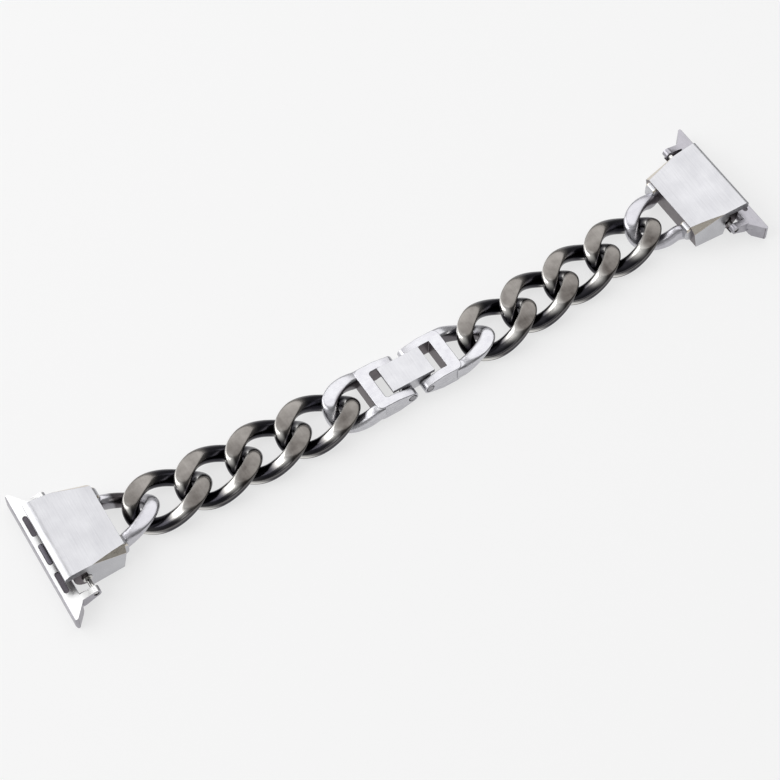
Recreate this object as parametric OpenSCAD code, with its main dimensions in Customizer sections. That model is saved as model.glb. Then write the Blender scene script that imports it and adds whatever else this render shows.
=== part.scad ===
// Curb-chain watch strap with slide-in T-bar connectors and a folding clasp.
// X runs along the strap, +Y is the far side, +Z is up, the surface is z = 0.

/* [Chain] */
// Distance from one link to the next
pitch = 8.6; // [8.5:0.05:8.8]
// Half length of a link, measured to the middle of the wire
link_a = 5.82; // [5.75:0.01:5.95]
// Half width of a link, measured to the middle of the wire
link_b = 3.68; // [3.6:0.01:3.9]
// Twist from the middle of a link to its end, in degrees
link_twist = 44; // [42:0.5:47]
// Roundness of the link outline: 1 is an ellipse, less is squarer
link_square = 0.9; // [0.86:0.01:0.94]
// Half height of the wire before the faces are ground flat
wire_up = 1.17; // [1.0:0.01:1.2]
// Half width of the wire
wire_side = 1.36; // [1.1:0.01:1.38]
// Thickness of the ground chain
chain_h = 3.6; // [3.4:0.05:3.7]

/* [Lay on the surface] */
// Heading of the left end body, in degrees
lay_body_left = -0.3; // [-3:0.1:3]
// Heading of the link next to the left end body
lay_link_1 = -2; // [-4:0.1:3]
// Heading of the second link from the left
lay_link_2 = 0; // [-3:0.1:3]
// Heading of the two links left of the clasp
lay_links_left = 1.0; // [-3:0.1:3]
// Heading of the clasp
lay_clasp = 1.5; // [-3:0.1:5]
// Heading of the four links right of the clasp
lay_links_right = 6.9; // [0:0.1:8]
// Heading of the right end body
lay_body_right = 2; // [-1:0.1:5]
// How far the left end body has slipped sideways in its link
play_left = 0.3; // [0:0.05:1]
// How far the right end body has slipped sideways in its link
play_right = 0.2; // [0:0.05:0.5]
// How far each connector has slid sideways on its spring bar
bar_slip = 0.5; // [0:0.05:0.6]

/* [End body] */
// Length of the top face
body_l = 10.26; // [9.8:0.1:11]
// Width of the body at the watch end
body_w = 14.4; // [13.6:0.1:14.8]
// Width of the top face at the chain end
top_w_chain = 11.2; // [10.6:0.1:11.6]
// Width below the bevel at the chain end
body_w_chain = 13.2; // [12.6:0.1:13.6]
// Height at the watch end
body_h = 5.9; // [5.6:0.05:6.2]
// Height at the chain end
body_h_chain = 4.7; // [4.5:0.05:5.1]
// Distance of the side bevel's tip from the watch end
bevel_x = 4.6; // [4:0.1:6]
// Height of the lower edge of the side bevel at the chain end
bevel_z = 3.5; // [3.3:0.05:4]
// How much the top face bulges above a straight line
crown = 0.22; // [0.1:0.01:0.4]
// How far the chain end leans in at the bottom
undercut = 0.9; // [0.4:0.05:1.2]
// Height of the underside of the lip over the connector
lip_z = 4.6; // [4.5:0.05:4.9]
// Width of the knuckle that the spring bar runs through
knuckle_w = 13.4; // [12.6:0.1:13.6]
// Radius of the knuckle
knuckle_r = 1.95; // [1.7:0.05:2]
// Distance of the half loop's centre from the watch end
body_loop_x = 11.2; // [11:0.05:11.6]

/* [Half loops] */
// Half length of a half loop, to the middle of its wire
loop_a = 6.05; // [6:0.01:6.15]
// Half height of a half loop's wire
loop_up = 1.17; // [1.0:0.01:1.2]
// Half width of a half loop's wire at its end
loop_side = 1.25; // [1.15:0.01:1.3]
// Half width of a half loop's arm at its root
loop_root = 0.9; // [0.8:0.01:1]
// Half height of a half loop's arm at its root
loop_root_up = 1.6; // [1.3:0.05:1.7]
// Width of the block that joins each arm to the end body
root_w = 2.2; // [1.8:0.1:2.4]
// How far that block stands out of the end body
root_out = 0.7; // [0.5:0.05:0.9]

/* [Connector] */
// Length of the T-bar
tbar_l = 23.8; // [22:0.1:24.6]
// Height of the T-bar
tbar_h = 2.83; // [2.6:0.01:2.9]
// Depth of the T-bar from its outer face to its neck
tbar_d = 2.2; // [2.1:0.05:2.3]
// Distance of the T-bar's outer face from the body's watch end
tbar_out = 1.3; // [1.2:0.05:1.4]
// Gap below the T-bar
tbar_lift = 0.1; // [0.05:0.01:0.2]
// Distance between the ears
ear_gap = 16.9; // [16.6:0.1:17.2]
// Thickness of an ear
ear_t = 1.05; // [0.9:0.05:1.2]
// Thickness of the low shoulder on an ear's inner side
shoulder_t = 0.6; // [0.4:0.05:0.65]
// Radius of an ear round the spring bar
ear_r = 0.78; // [0.72:0.01:0.85]
// Length of a slot in the T-bar
slot_l = 3.9; // [3.4:0.1:4.3]
// Width of a slot
slot_w = 0.85; // [0.8:0.05:1]
// Distance between the slots
slot_pitch = 5.4; // [5:0.1:5.8]
// Depth of the slots for the rubber pads
pad_depth = 1; // [0.8:0.05:1.2]
// Travel of the sprung catch
catch_travel = 0.35; // [0.2:0.05:0.35]
// Height of the catch's spring when it is pressed flat
spring_flat = 0.45; // [0.4:0.05:0.6]

/* [Spring bar] */
// Distance of the spring bar from the watch end
bar_x = 3.38; // [3.3:0.01:3.45]
// Height of the spring bar
bar_z = 2.7; // [2.65:0.01:2.8]
// Diameter of the spring bar's barrel
barrel_d = 1.5; // [1.4:0.01:1.6]
// Diameter of the bore in the barrel
barrel_bore = 1.1; // [1:0.01:1.15]
// Diameter of a spring bar tip
tip_d = 0.8; // [0.7:0.01:0.85]
// Shoulder between the barrel and each ear
tip_shoulder = 1.8; // [1.5:0.05:2]
// Travel of a spring bar tip
tip_travel = 0.95; // [0.8:0.05:1]

/* [Clasp] */
// Distance between the two clasp pins
pin_gap = 3.2; // [3:0.05:3.4]
// Diameter of the clasp pins
pin_d = 1.1; // [0.9:0.05:1.2]
// Height of the clasp pins
pin_z = 1.7; // [1.6:0.05:1.8]
// Width over the clasp frames
clasp_w = 8.2; // [8:0.05:8.6]
// Width between the arms of a clasp frame
arm_gap = 5.2; // [5.1:0.05:5.3]
// Thickness of the clasp frames
clasp_h = 3.3; // [3.2:0.05:3.5]
// Radius of an arm round its pin
arm_tip_r = 1; // [0.9:0.05:1.05]
// Distance from a pin to the opening's closed side
frame_open = 3.9; // [3.6:0.05:4.1]
// Width of the crossbar of a clasp frame
crossbar = 2.1; // [1.9:0.05:2.3]
// Distance from the left pin to its loop's centre
loop_x_left = 6.05; // [5.9:0.05:6.3]
// Distance from the right pin to its loop's centre
loop_x_right = 6.5; // [6.2:0.05:6.7]
// Length of the cover plate
cover_l = 7.5; // [7.2:0.1:8]
// Thickness of the cover plate
cover_t = 0.6; // [0.5:0.05:0.7]
// Height of the cover plate's top
cover_top = 3.65; // [3.6:0.01:3.8]
// Thickness of the cover's side walls
cover_wall = 0.5; // [0.4:0.05:0.55]
// Offset of the cover plate from the middle of the clasp
cover_shift = -0.4; // [-0.6:0.05:0]
// Radius of the hook and the knuckle of the lower leaf
leaf_r = 1.05; // [1:0.01:1.15]

/* [Clearances] */
// Running clearance round a pin, on the radius
run_clear = 0.04; // [0.02:0.01:0.08]
// Side clearance between parts that turn past each other
side_clear = 0.15; // [0.1:0.01:0.2]
// Clearance between the knuckle and the connector's hollow
hollow_clear = 0.35; // [0.3:0.01:0.4]
// Clearance round the catch in its slot
catch_clear = 0.08; // [0.05:0.01:0.1]

/* [Hidden] */
links_a_side = 4;
round_fn = 48;
crown_fn = 720;
rings = 36;
half_rings = 18;
side_points = 7;
min_cap = 20;
loop_spread = 0.95;
root_depth = 2.4;
loop_blend = 0.7;
lip_t = body_h - lip_z;
lip_run = 0.7;
lip_fall = 0.5;
lip_bend = 0.25;
lip_foot = 0.15;
heel_x = bar_x + 0.8;
heel_top_x = bar_x + 0.1;
root_y = link_b + loop_spread;
root_z = body_h_chain - 0.4;
root_edge = 0.5;
root_foot = 1.2;
tbar_top = tbar_lift + tbar_h;
tbar_edge = 0.15;
tbar_foot = 0.45;
neck_x = tbar_d - tbar_out;
neck_z = tbar_lift + 1.5;
neck_edge = 0.3;
hollow_r = knuckle_r + hollow_clear;
ear_in = ear_gap / 2;
ear_drop = 0.6;
slot_x = -0.25;
pad_clear = 0.03;
pad_sunk = 0.12;
catch_proud = 0.1;
catch_h = 0.7;
catch_depth = catch_h - catch_proud + catch_travel + spring_flat;
barrel_l = ear_gap - 2 * tip_shoulder;
barrel_lip = 0.5;
tip_in_ear = ear_t - 0.15;
collar_t = 0.5;
coil_wire = 0.22;
body_bore = barrel_d + 2 * run_clear;
cover_w = arm_gap - 2 * side_clear;
leaf_w = cover_w - 2 * cover_wall - 2 * side_clear;
leaf_t = 0.85;
frame_corner = 1;
arm_rise = 2.4;
clasp_loop_b = 3.4;
clasp_loop_root = 0.95;
pin_sunk = 0.05;
notch_clear = 0.12;
notch_drop = 0.4;
lobe_w = 2.5;
lobe_r = 0.35;
shoulder_z = 2.1;
cut_size = 40;

// Points and headings along the strap, worked outwards from the clasp
function dir(h) = [cos(h), sin(h), 0];
function turn(h, q) = [q.x * cos(h) - q.y * sin(h), q.x * sin(h) + q.y * cos(h), q.z];
left_heads = concat([lay_clasp], [for (i = [3:links_a_side]) lay_links_left],
    [lay_link_2, lay_link_1, lay_body_left]);
right_heads = concat([lay_clasp], [for (i = [1:links_a_side]) lay_links_right], [lay_body_right]);
left_start = dir(lay_clasp) * -(pin_gap / 2 + loop_x_left);
right_start = dir(lay_clasp) * (pin_gap / 2 + loop_x_right);
function centre(start, heads, side, i) = i == 0 ? start :
    centre(start, heads, side, i - 1) + side * pitch / 2 * (dir(heads[i - 1]) + dir(heads[i]));
function joint_at(start, heads, side, i) =
    centre(start, heads, side, i) + side * pitch / 2 * dir(heads[i]);
last = links_a_side + 1;
raw_left = centre(left_start, left_heads, -1, last) + turn(lay_body_left, [-body_loop_x, play_left, 0]);
raw_right = centre(right_start, right_heads, 1, last) + turn(lay_body_right, [body_loop_x, play_right, 0]);

// The origin is the middle of the whole strap, on the surface
corner_y = [tbar_l / 2 - bar_slip, -tbar_l / 2 - bar_slip];
left_pts = [for (y = corner_y) raw_left + turn(lay_body_left, [-tbar_out, y, 0])];
right_pts = [for (y = corner_y) raw_right + turn(lay_body_right + 180, [-tbar_out, y, 0])];
all_pts = concat(left_pts, right_pts);
mid_x = (min([for (p = all_pts) p.x]) + max([for (p = all_pts) p.x])) / 2;
mid_y = (min([for (p = all_pts) p.y]) + max([for (p = all_pts) p.y])) / 2;
shift = [-mid_x, -mid_y, 0];

// Twisted superellipse: the middle of a curb link's wire
function power(v, e) = sign(v) * pow(abs(v), e);
function wire_point(t, a, b) =
    let (x = a * power(cos(t), link_square), w = b * power(sin(t), link_square),
         tau = -link_twist * x / a)
    [x, w * cos(tau), w * sin(tau)];

function unit(v) = v / norm(v);
// One section of the wire: an ellipse whose top and bottom are ground flat
function section(p, dirn, up, side) =
    let (u = unit([0, 0, 1] - dirn * dirn.z), v = cross(dirn, u),
         top = max(min_cap, acos(min(1, (chain_h / 2 - p.z) / (up * u.z)))),
         low = max(min_cap, acos(min(1, (chain_h / 2 + p.z) / (up * u.z)))),
         half = [for (k = [0:side_points - 1]) top + (180 - top - low) * k / (side_points - 1)],
         around = concat(half, [for (k = [side_points - 1:-1:0]) 360 - half[k]]))
    [for (q = around) p + up * cos(q) * u + side * sin(q) * v + [0, 0, chain_h / 2]];

function flat_list(l) = [for (a = l) for (b = a) b];
function band(i, j, n) = flat_list([for (k = [0:n - 1])
    [[i * n + k, j * n + (k + 1) % n, i * n + (k + 1) % n],
     [i * n + k, j * n + k, j * n + (k + 1) % n]]]);

// A closed link, swept round the whole outline
module curb_link() {
    n = 2 * side_points;
    step = 360 / rings;
    secs = [for (i = [0:rings - 1])
        let (t = (i + 0.5) * step,
             d = unit(wire_point(t + 0.5, link_a, link_b) - wire_point(t - 0.5, link_a, link_b)))
        section(wire_point(t, link_a, link_b), d, wire_up, wire_side)];
    polyhedron(flat_list(secs), flat_list([for (i = [0:rings - 1]) band(i, (i + 1) % rings, n)]));
}

// Path of a half loop: straight arms that spread to the root, then the round end
function half_path(b, spread, depth) = concat(
    [[-depth, -b - spread, 0]],
    [for (i = [0:half_rings]) wire_point(-90 + 180 * i / half_rings, loop_a, b)],
    [[-depth, b + spread, 0]]);
// A half loop opens towards -X and its centre is the origin
module half_loop(b, spread, depth, root_up, root_side) {
    n = 2 * side_points;
    path = half_path(b, spread, depth);
    m = len(path);
    secs = [for (i = [0:m - 1])
        let (d = unit(path[min(i + 1, m - 1)] - path[max(i - 1, 0)]),
             share = min(1, (path[i].x + depth) / (depth + loop_a * loop_blend)))
        section(path[i], d, root_up + (loop_up - root_up) * share,
                root_side + (loop_side - root_side) * share)];
    near_cap = [for (k = [1:n - 2]) [0, k, k + 1]];
    far_cap = [for (k = [1:n - 2]) [(m - 1) * n, (m - 1) * n + k + 1, (m - 1) * n + k]];
    sides = flat_list([for (i = [0:m - 2]) band(i, i + 1, n)]);
    polyhedron(flat_list(secs), concat(sides, near_cap, far_cap));
}

// A rod along Y, from y0 to y1, round the point x, z
module rod_y(x, z, d, y0, y1, fn = round_fn) {
    translate([x, y0, z]) rotate([-90, 0, 0]) cylinder(h = y1 - y0, d = d, $fn = fn);
}

// A flat shape in X and Z, given thickness along Y
module plate_y(y0, y1) {
    translate([0, y1, 0]) rotate([90, 0, 0]) linear_extrude(height = y1 - y0) children();
}

// Everything on one side of the plane through three points
module beyond_plane(p, q, r, size) {
    n = unit(cross(q - p, r - p));
    translate(p) rotate([0, acos(n.z), atan2(n.y, n.x)]) translate([-size / 2, -size / 2, 0]) cube(size);
}

// The side view of the end body, with its lip, knuckle and heel
module body_side() {
    polygon([[heel_x, 0], [body_l - undercut, 0], [body_l, body_h_chain], [body_l, body_h + 1],
        [lip_run, body_h + 1], [lip_run, body_h], [lip_bend, body_h - lip_bend / 2], [0, body_h - lip_fall],
        [0, lip_z + lip_foot], [lip_foot, lip_z], [heel_top_x, lip_z]]);
}

// Half width of the end body, and the height of its crowned top, at a distance x from the watch end
function body_half(x) = (body_w + (body_w_chain - body_w) * x / body_l) / 2;
function top_height(x) = body_h + (body_h_chain - body_h) * x / body_l
    + 4 * crown * x / body_l * (1 - x / body_l);

// The block between an arm of the half loop and the end body, its outer top edge cut off
module root_block() {
    plate_y(-root_w / 2, root_w / 2)
        polygon([[body_l - undercut - root_out, root_foot], [body_l, root_foot],
            [body_l + root_out, root_foot + root_edge], [body_l + root_out, chain_h],
            [body_l + root_out - root_edge, root_z], [body_l - undercut - root_out, root_z]]);
}

// The end body: block, crowned top, bevels, knuckle, bore and half loop
module end_body() {
    drop = body_h - body_h_chain;
    lean = atan2(drop, body_l);
    crown_r = (body_l * body_l + drop * drop) / (8 * crown) + crown / 2;
    crown_x = body_l / 2 - (crown_r - crown) * sin(lean);
    crown_z = (body_h + body_h_chain) / 2 - (crown_r - crown) * cos(lean);
    corner = [bevel_x, body_half(bevel_x), top_height(bevel_x)];
    top_end = [body_l, top_w_chain / 2, body_h_chain];
    low_end = [body_l, body_w_chain / 2, bevel_z];
    difference() {
        intersection() {
            union() {
                plate_y(-body_w / 2, body_w / 2) body_side();
                rod_y(bar_x, bar_z, 2 * knuckle_r, -knuckle_w / 2, knuckle_w / 2);
                translate([bar_x - knuckle_r, -knuckle_w / 2, bar_z])
                    cube([knuckle_r + heel_top_x - bar_x, knuckle_w, lip_z - bar_z + lip_t / 2]);
            }
            linear_extrude(height = 2 * body_h)
                polygon([[-1, body_w / 2], [0, body_w / 2], [body_l, body_w_chain / 2],
                    [body_l, -body_w_chain / 2], [0, -body_w / 2], [-1, -body_w / 2]]);
            rod_y(crown_x, crown_z, 2 * crown_r, -body_w, body_w, crown_fn);
        }
        beyond_plane(corner, top_end, low_end, cut_size);
        mirror([0, 1, 0]) beyond_plane(corner, top_end, low_end, cut_size);
        rod_y(bar_x, bar_z, body_bore, -body_w, body_w);
    }
    for (s = [-1, 1]) translate([0, s * root_y, 0]) root_block();
    translate([body_loop_x, 0, 0])
        half_loop(link_b, loop_spread, root_depth, loop_root_up, loop_root);
}

// A slot or pad: a bar along Y with round ends, standing on z
module stadium(l, w, h) {
    translate([-w / 2, -(l - w) / 2, 0]) cube([w, l - w, h]);
    for (s = [-1, 1]) translate([0, s * (l - w) / 2, 0]) cylinder(h = h, d = w, $fn = round_fn);
}

// The side view of the T-bar's head, neck and web
module tbar_side() {
    polygon([[-tbar_out + tbar_edge, tbar_top], [-tbar_out, tbar_top - tbar_edge],
        [-tbar_out, tbar_lift + tbar_foot + tbar_edge], [-tbar_out + tbar_edge, tbar_lift + 2 * tbar_edge],
        [-tbar_out + tbar_foot, tbar_lift], [neck_x - neck_edge, tbar_lift],
        [neck_x, tbar_lift + neck_edge], [neck_x, neck_z],
        [bar_x - knuckle_r, neck_z], [bar_x - knuckle_r, tbar_top]]);
}

// The side view of an ear
module ear_side() {
    polygon([[0, neck_z - ear_drop], [neck_x + ear_drop, neck_z - ear_drop],
        [bar_x, bar_z - ear_r], [bar_x, bar_z + ear_r], [neck_x, tbar_top], [0, tbar_top]]);
    translate([bar_x, bar_z]) circle(r = ear_r, $fn = round_fn);
}

// The side view of the low shoulder inside an ear
module shoulder_side() {
    polygon([[neck_x - neck_edge, neck_z - ear_drop], [neck_x + ear_drop, neck_z - ear_drop],
        [bar_x + ear_r - neck_edge, bar_z - ear_r], [bar_x + ear_r, shoulder_z],
        [neck_x - neck_edge, shoulder_z]]);
}

// Top view of the T-bar, with a sloped lobe past each ear
module tbar_plan() {
    ear_out = ear_in + ear_t;
    translate([-cut_size / 2, -ear_out]) square([cut_size, 2 * ear_out]);
    for (s = [0, 1]) mirror([0, s, 0]) hull() {
        translate([-tbar_out, 0]) square([lobe_w, ear_out]);
        translate([-tbar_out + lobe_r, tbar_l / 2 - lobe_r]) circle(r = lobe_r, $fn = round_fn);
    }
}

// The T-bar connector with its ears, slots and pin holes
module adapter() {
    translate([0, -bar_slip, 0]) difference() {
        union() {
            difference() {
                intersection() {
                    plate_y(-tbar_l / 2, tbar_l / 2) tbar_side();
                    linear_extrude(height = tbar_top + 1) tbar_plan();
                }
                rod_y(bar_x, bar_z, 2 * hollow_r, -ear_in, ear_in);
            }
            for (s = [-1, 1]) translate([0, s * (ear_in + ear_t / 2), 0])
                plate_y(-ear_t / 2, ear_t / 2) ear_side();
            for (s = [0, 1]) mirror([0, s, 0])
                plate_y(ear_in - shoulder_t, ear_in + ear_t / 2) shoulder_side();
        }
        rod_y(bar_x, bar_z, tip_d + 2 * run_clear, -tbar_l, tbar_l);
        for (s = [-1, 1]) translate([slot_x, s * slot_pitch, tbar_top - pad_depth])
            stadium(slot_l, slot_w, pad_depth + 1);
        translate([slot_x, 0, tbar_top - catch_depth]) stadium(slot_l, slot_w, catch_depth + 1);
    }
}

// The two rubber pads
module grip_pads() {
    for (s = [-1, 1]) translate([slot_x, s * slot_pitch - bar_slip, tbar_top - pad_depth])
        stadium(slot_l - 2 * pad_clear, slot_w - 2 * pad_clear, pad_depth - pad_sunk);
}

// The sprung catch in the middle slot
module lock_detent() {
    translate([slot_x, -bar_slip, tbar_top + catch_proud - catch_h])
        stadium(slot_l - 2 * catch_clear, slot_w - 2 * catch_clear, catch_h);
}

// The spring under the catch, as its outer tube
module detent_spring() {
    translate([slot_x, -bar_slip, tbar_top - catch_depth]) difference() {
        cylinder(h = catch_depth + catch_proud - catch_h, d = slot_w - 2 * catch_clear, $fn = round_fn);
        translate([0, 0, -1]) cylinder(h = catch_depth + 2, d = slot_w - 2 * catch_clear - 2 * coil_wire,
            $fn = round_fn);
    }
}

// The tube of the spring bar, with its rolled ends
module spring_bar_barrel() {
    translate([0, -bar_slip, 0]) difference() {
        rod_y(bar_x, bar_z, barrel_d, -barrel_l / 2, barrel_l / 2);
        rod_y(bar_x, bar_z, tip_d + 2 * run_clear, -barrel_l, barrel_l);
        rod_y(bar_x, bar_z, barrel_bore, -barrel_l / 2 + barrel_lip, barrel_l / 2 - barrel_lip);
    }
}

// One tip of the spring bar; side is -1 or 1 along Y
module spring_bar_tip(side) {
    collar_y = barrel_l / 2 - barrel_lip;
    translate([0, -bar_slip, 0]) mirror([0, side < 0 ? 1 : 0, 0]) {
        rod_y(bar_x, bar_z, tip_d, collar_y - collar_t, ear_in + tip_in_ear);
        rod_y(bar_x, bar_z, barrel_bore - 2 * run_clear, collar_y - collar_t, collar_y);
    }
}

// The spring inside the barrel, as its outer tube, short by the travel of both tips
module spring_bar_spring() {
    half = barrel_l / 2 - barrel_lip - collar_t - tip_travel - run_clear;
    outer = barrel_bore - 2 * run_clear;
    translate([0, -bar_slip, 0]) difference() {
        rod_y(bar_x, bar_z, outer, -half, half);
        rod_y(bar_x, bar_z, outer - 2 * coil_wire, -barrel_l, barrel_l);
    }
}

// Top view of a clasp frame: its pin is the origin, its arms open towards -X
module frame_plan() {
    full = arm_tip_r + frame_open + crossbar;
    difference() {
        union() {
            translate([-arm_tip_r, -clasp_w / 2]) square([full - frame_corner, clasp_w]);
            translate([-arm_tip_r, frame_corner - clasp_w / 2]) square([full, clasp_w - 2 * frame_corner]);
            for (s = [-1, 1]) translate([full - arm_tip_r - frame_corner, s * (clasp_w / 2 - frame_corner)])
                circle(r = frame_corner, $fn = round_fn);
        }
        translate([-2 * arm_tip_r, -arm_gap / 2]) square([2 * arm_tip_r + frame_open, arm_gap]);
    }
}

// Side view of a clasp frame: round arm tips, full thickness further on
module frame_side() {
    translate([0, pin_z]) circle(r = arm_tip_r, $fn = round_fn);
    polygon([[0, pin_z - arm_tip_r], [arm_rise, 0], [frame_open + crossbar, 0],
        [frame_open + crossbar, clasp_h], [arm_rise, clasp_h], [0, pin_z + arm_tip_r]]);
}

// A clasp frame with its half loop; the loop's centre is loop_x from the pin
module clasp_frame(loop_x) {
    difference() {
        intersection() {
            linear_extrude(height = clasp_h) frame_plan();
            plate_y(-clasp_w, clasp_w) frame_side();
        }
        rod_y(0, pin_z, pin_d, -clasp_w, clasp_w);
    }
    translate([loop_x, 0, 0]) half_loop(clasp_loop_b, 0, loop_x - frame_open - crossbar / 2,
        clasp_h / 2 - 0.1, clasp_loop_root);
}

// A clasp pin, flush with the arms
module clasp_pin() {
    rod_y(0, pin_z, pin_d, -clasp_w / 2 + pin_sunk, clasp_w / 2 - pin_sunk);
}

// The lower leaf: knuckle on the hinge pin, hook open upwards round the catch pin
module clasp_hook_leaf() {
    difference() {
        union() {
            for (s = [-1, 1]) rod_y(s * pin_gap / 2, pin_z, 2 * leaf_r, -leaf_w / 2, leaf_w / 2);
            translate([-pin_gap / 2, -leaf_w / 2, pin_z - leaf_r]) cube([pin_gap, leaf_w, leaf_t]);
        }
        for (s = [-1, 1]) rod_y(s * pin_gap / 2, pin_z, pin_d + 2 * run_clear, -clasp_w, clasp_w);
        translate([-pin_gap / 2 - pin_d / 2 - run_clear, -clasp_w / 2, pin_z])
            cube([pin_d + 2 * run_clear, clasp_w, leaf_r + 1]);
    }
}

// The cover: a plate with two side walls, hinged on one pin and snapped on the other
module clasp_cover_plate() {
    under = cover_top - cover_t;
    notch_r = pin_d / 2 + notch_clear;
    difference() {
        union() {
            translate([cover_shift - cover_l / 2, -cover_w / 2, under]) cube([cover_l, cover_w, cover_t]);
            for (s = [-1, 1]) translate([0, s * (cover_w - cover_wall) / 2, 0]) {
                rod_y(pin_gap / 2, pin_z, 2 * leaf_r, -cover_wall / 2, cover_wall / 2);
                translate([-pin_gap / 2 - leaf_r, -cover_wall / 2, pin_z - notch_drop])
                    cube([pin_gap + 2 * leaf_r, cover_wall, under - pin_z + notch_drop + cover_t / 2]);
            }
        }
        rod_y(pin_gap / 2, pin_z, pin_d + 2 * run_clear, -clasp_w, clasp_w);
        rod_y(-pin_gap / 2, pin_z, 2 * notch_r, -clasp_w, clasp_w);
        translate([-pin_gap / 2 - notch_r, -clasp_w, pin_z - leaf_r]) cube([2 * notch_r, 2 * clasp_w, leaf_r]);
    }
}

// Placing: each module sets its children on one unit of the strap
module on_left_body() {
    translate(raw_left + shift) rotate([0, 0, lay_body_left]) children();
}
module on_right_body() {
    translate(raw_right + shift) rotate([0, 0, lay_body_right + 180]) children();
}
module on_left_link(i) {
    translate(centre(left_start, left_heads, -1, i) + shift) rotate([0, 0, left_heads[i]]) children();
}
module on_right_link(i) {
    translate(centre(right_start, right_heads, 1, i) + shift) rotate([0, 0, right_heads[i]]) children();
}
module on_clasp() {
    translate(shift) rotate([0, 0, lay_clasp]) children();
}

// The named pieces, each in its colour
module adapter_left() { color([0.9, 0.9, 0.9]) on_left_body() adapter(); }
module adapter_right() { color([0.9, 0.9, 0.9]) on_right_body() adapter(); }
module grip_pads_left() { color([0.3, 0.28, 0.3]) on_left_body() grip_pads(); }
module grip_pads_right() { color([0.3, 0.28, 0.3]) on_right_body() grip_pads(); }
module lock_detent_left() { color([0.7, 0.69, 0.7]) on_left_body() lock_detent(); }
module lock_detent_right() { color([0.7, 0.69, 0.7]) on_right_body() lock_detent(); }
module detent_spring_left() { color([0.6, 0.6, 0.62]) on_left_body() detent_spring(); }
module detent_spring_right() { color([0.6, 0.6, 0.62]) on_right_body() detent_spring(); }
module spring_bar_barrel_left() { color([0.8, 0.8, 0.8]) on_left_body() spring_bar_barrel(); }
module spring_bar_barrel_right() { color([0.8, 0.8, 0.8]) on_right_body() spring_bar_barrel(); }
module spring_bar_tip_left_near() { color([0.85, 0.85, 0.85]) on_left_body() spring_bar_tip(-1); }
module spring_bar_tip_left_far() { color([0.85, 0.85, 0.85]) on_left_body() spring_bar_tip(1); }
module spring_bar_tip_right_near() { color([0.85, 0.85, 0.85]) on_right_body() spring_bar_tip(1); }
module spring_bar_tip_right_far() { color([0.85, 0.85, 0.85]) on_right_body() spring_bar_tip(-1); }
module spring_bar_spring_left() { color([0.6, 0.6, 0.62]) on_left_body() spring_bar_spring(); }
module spring_bar_spring_right() { color([0.6, 0.6, 0.62]) on_right_body() spring_bar_spring(); }
module end_body_left() { color([0.86, 0.86, 0.88]) on_left_body() end_body(); }
module end_body_right() { color([0.86, 0.86, 0.88]) on_right_body() end_body(); }
module clasp_frame_left() {
    color([0.84, 0.84, 0.86]) on_clasp() translate([-pin_gap / 2, 0, 0])
        rotate([0, 0, 180]) clasp_frame(loop_x_left);
}
module clasp_frame_right() {
    color([0.84, 0.84, 0.86]) on_clasp() translate([pin_gap / 2, 0, 0]) clasp_frame(loop_x_right);
}
module clasp_catch_pin() { color([0.7, 0.7, 0.72]) on_clasp() translate([-pin_gap / 2, 0, 0]) clasp_pin(); }
module clasp_hinge_pin() { color([0.7, 0.7, 0.72]) on_clasp() translate([pin_gap / 2, 0, 0]) clasp_pin(); }
module hook_leaf() { color([0.5, 0.5, 0.52]) on_clasp() clasp_hook_leaf(); }
module cover_plate() { color([0.87, 0.87, 0.88]) on_clasp() clasp_cover_plate(); }
// Chain links 1 to 4 lie left of the clasp and 5 to 8 right of it
module chain_link(k) {
    color([0.4, 0.39, 0.39])
        if (k <= links_a_side) on_left_link(links_a_side + 1 - k) curb_link();
        else on_right_link(k - links_a_side) curb_link();
}

adapter_left();
adapter_right();
grip_pads_left();
grip_pads_right();
lock_detent_left();
lock_detent_right();
detent_spring_left();
detent_spring_right();
spring_bar_barrel_left();
spring_bar_barrel_right();
spring_bar_tip_left_near();
spring_bar_tip_left_far();
spring_bar_tip_right_near();
spring_bar_tip_right_far();
spring_bar_spring_left();
spring_bar_spring_right();
end_body_left();
end_body_right();
chain_link(1);  // chain_link_1
chain_link(2);  // chain_link_2
chain_link(3);  // chain_link_3
chain_link(4);  // chain_link_4
chain_link(5);  // chain_link_5
chain_link(6);  // chain_link_6
chain_link(7);  // chain_link_7
chain_link(8);  // chain_link_8
clasp_frame_left();
clasp_frame_right();
clasp_catch_pin();
clasp_hinge_pin();
hook_leaf();  // clasp_hook_leaf
cover_plate();  // clasp_cover_plate
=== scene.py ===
from math import cos, pi, radians, sin

import bmesh
import bpy
import numpy as np
from mathutils import Matrix, Vector


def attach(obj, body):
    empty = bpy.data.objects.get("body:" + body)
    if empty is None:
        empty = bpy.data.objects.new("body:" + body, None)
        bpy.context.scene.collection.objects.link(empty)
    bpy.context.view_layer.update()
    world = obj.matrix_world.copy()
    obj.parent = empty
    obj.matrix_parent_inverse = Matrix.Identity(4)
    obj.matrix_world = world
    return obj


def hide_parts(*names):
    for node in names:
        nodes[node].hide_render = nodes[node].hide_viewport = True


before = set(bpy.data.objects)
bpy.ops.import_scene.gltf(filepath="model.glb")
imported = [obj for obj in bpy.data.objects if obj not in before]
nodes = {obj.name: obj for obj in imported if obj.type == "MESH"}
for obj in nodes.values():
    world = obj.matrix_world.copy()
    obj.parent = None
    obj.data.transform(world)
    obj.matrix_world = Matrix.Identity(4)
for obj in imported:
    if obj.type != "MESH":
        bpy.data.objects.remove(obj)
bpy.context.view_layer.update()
scene = bpy.context.scene
mm = 0.001
metre = 1000    # in mm; a pattern's scale is how often it repeats in a metre

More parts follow.
